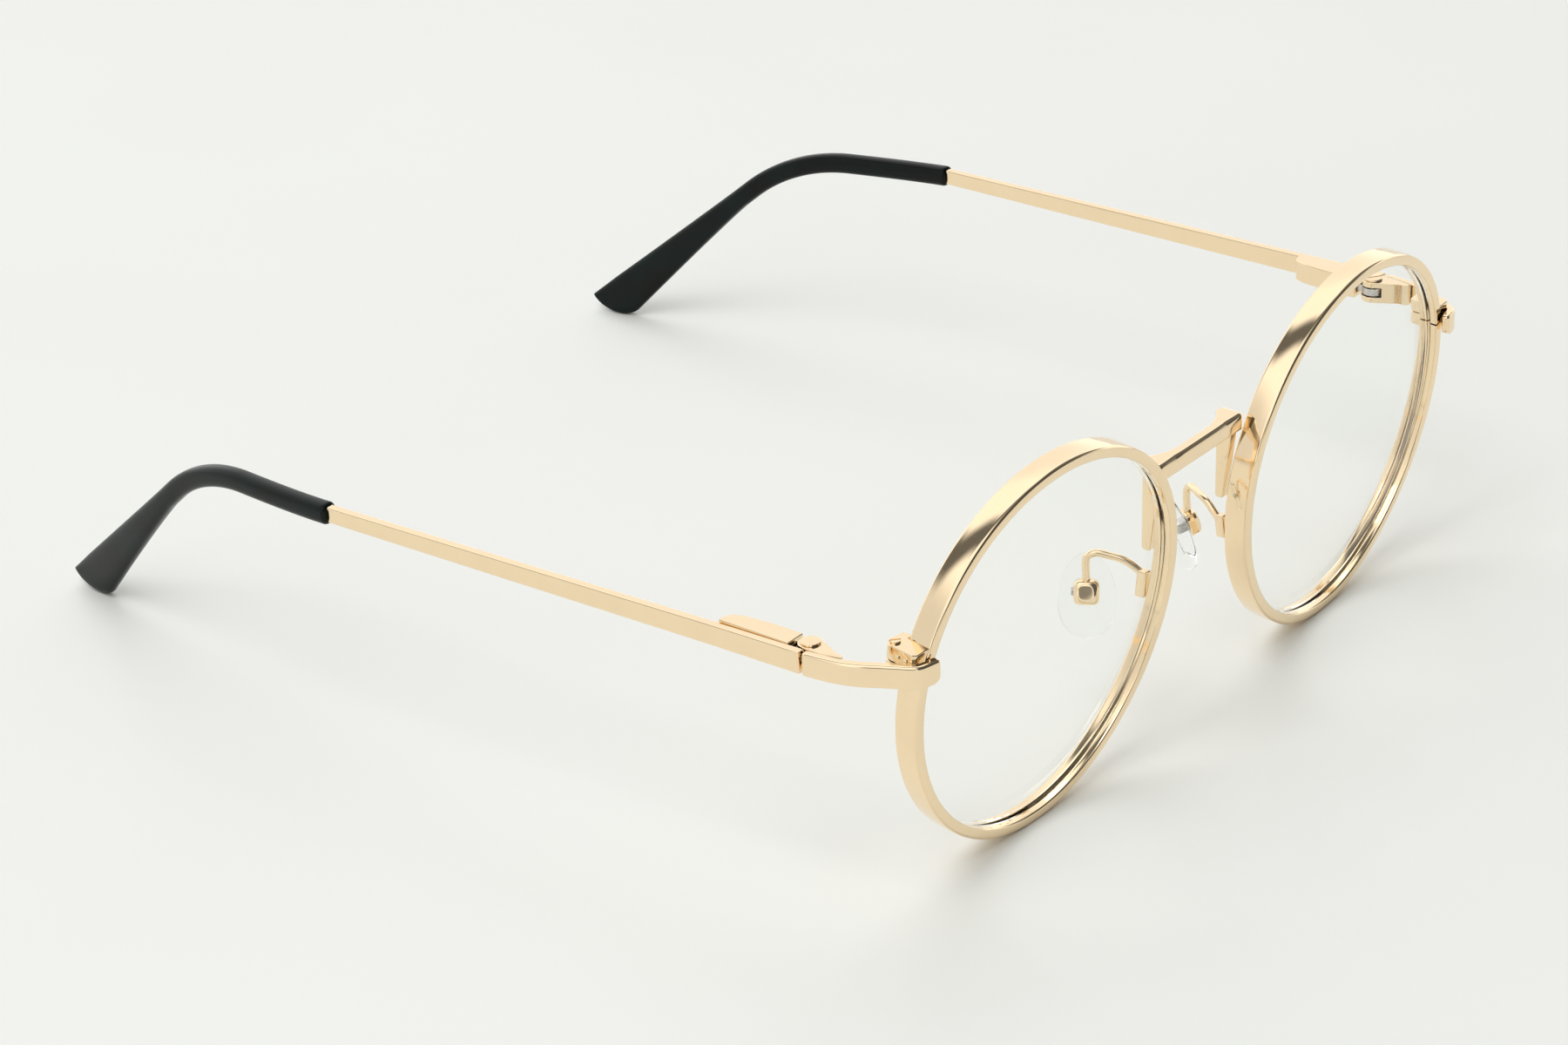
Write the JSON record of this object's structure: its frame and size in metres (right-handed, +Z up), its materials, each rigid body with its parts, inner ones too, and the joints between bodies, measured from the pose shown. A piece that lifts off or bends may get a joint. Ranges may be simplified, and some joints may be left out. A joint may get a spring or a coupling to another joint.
{
  "type": "eyeglasses",
  "caption": "Round metal-rimmed eyeglasses with a flat bridge, spring-hinged folding temples, rocking nose pads and black temple tips, standing open.",
  "frame": {"origin": "centre of the open glasses' footprint, on the surface they stand on", "axes": "+X to the wearer's left, +Y from the front back along the temples, +Z up; the front faces -Y; mirrored about X = 0"},
  "size_m": [0.137, 0.1548, 0.0522],
  "materials": {
    "polished_gold": "bright polished pale gold plate",
    "clear_lens": "clear, anti-reflective, polished",
    "clear_silicone": "clear soft silicone",
    "black_acetate": "polished black acetate",
    "hinge_steel": "bright turned steel"
  },
  "bodies": {
    "front": {"bridge": "polished_gold", "left_rim": "polished_gold", "left_lens": "clear_lens", "left_closing_block_upper": "polished_gold", "left_closing_block_lower": "polished_gold", "left_closing_screw": "hinge_steel", "left_end_piece": "polished_gold", "left_hinge_knuckles": "polished_gold", "left_pad_arm": "polished_gold", "left_pad_box": "polished_gold", "left_pad_screw": "hinge_steel", "right_rim": "polished_gold", "right_lens": "clear_lens", "right_closing_block_upper": "polished_gold", "right_closing_block_lower": "polished_gold", "right_closing_screw": "hinge_steel", "right_end_piece": "polished_gold", "right_hinge_knuckles": "polished_gold", "right_pad_arm": "polished_gold", "right_pad_box": "polished_gold", "right_pad_screw": "hinge_steel"},
    "left_pivot": {"left_hinge_screw": "polished_gold"},
    "left_slider": {"left_hinge_slider": "hinge_steel", "left_hinge_spring": "hinge_steel"},
    "left_temple": {"left_temple_bar": "polished_gold", "left_spring_housing": "polished_gold", "left_spring_stop": "hinge_steel", "left_temple_tip": "black_acetate"},
    "left_pad": {"left_nose_pad": "clear_silicone", "left_pad_peg": "hinge_steel"},
    "right_pivot": {"right_hinge_screw": "polished_gold"},
    "right_slider": {"right_hinge_slider": "hinge_steel", "right_hinge_spring": "hinge_steel"},
    "right_temple": {"right_temple_bar": "polished_gold", "right_spring_housing": "polished_gold", "right_spring_stop": "hinge_steel", "right_temple_tip": "black_acetate"},
    "right_pad": {"right_nose_pad": "clear_silicone", "right_pad_peg": "hinge_steel"}
  },
  "joints": [
    {"name": "left_temple_fold", "type": "hinge", "parent": "front", "child": "left_pivot", "pos_m": [0.06405, -0.06019, 0.03411], "axis": [0, 0, 1], "range_deg": [0, 90]},
    {"name": "left_temple_flex", "type": "hinge", "parent": "left_pivot", "child": "left_slider", "pos_m": [0.06405, -0.06019, 0.03411], "axis": [0, 0, 1], "range_deg": [-12, 0], "stiffness_Nm_per_rad": 0.3, "springref_deg": 5.73},
    {"name": "left_temple_slide", "type": "slide", "parent": "left_slider", "child": "left_temple", "axis": [0, 1, 0], "range_m": [0, 0.0007], "deforming": ["left_hinge_spring"]},
    {"name": "left_pad_rock", "type": "hinge", "parent": "front", "child": "left_pad", "pos_m": [0.01175, -0.06379, 0.02068], "axis": [0.5299, 0.848, 0], "range_deg": [-10, 10]},
    {"name": "right_temple_fold", "type": "hinge", "parent": "front", "child": "right_pivot", "pos_m": [-0.06405, -0.06019, 0.03411], "axis": [0, 0, -1], "range_deg": [0, 84]},
    {"name": "right_temple_flex", "type": "hinge", "parent": "right_pivot", "child": "right_slider", "pos_m": [-0.06405, -0.06019, 0.03411], "axis": [0, 0, -1], "range_deg": [-12, 0], "stiffness_Nm_per_rad": 0.3, "springref_deg": 5.73},
    {"name": "right_temple_slide", "type": "slide", "parent": "right_slider", "child": "right_temple", "axis": [0, 1, 0], "range_m": [0, 0.0007], "deforming": ["right_hinge_spring"]},
    {"name": "right_pad_rock", "type": "hinge", "parent": "front", "child": "right_pad", "pos_m": [-0.01175, -0.06379, 0.02068], "axis": [-0.5299, 0.848, 0], "range_deg": [-10, 10]}
  ],
  "couplings": [
    {"joint": "left_temple_slide", "follows": "left_temple_flex", "m_per_rad": -0.003},
    {"joint": "right_temple_slide", "follows": "right_temple_flex", "m_per_rad": -0.003}
  ]
}
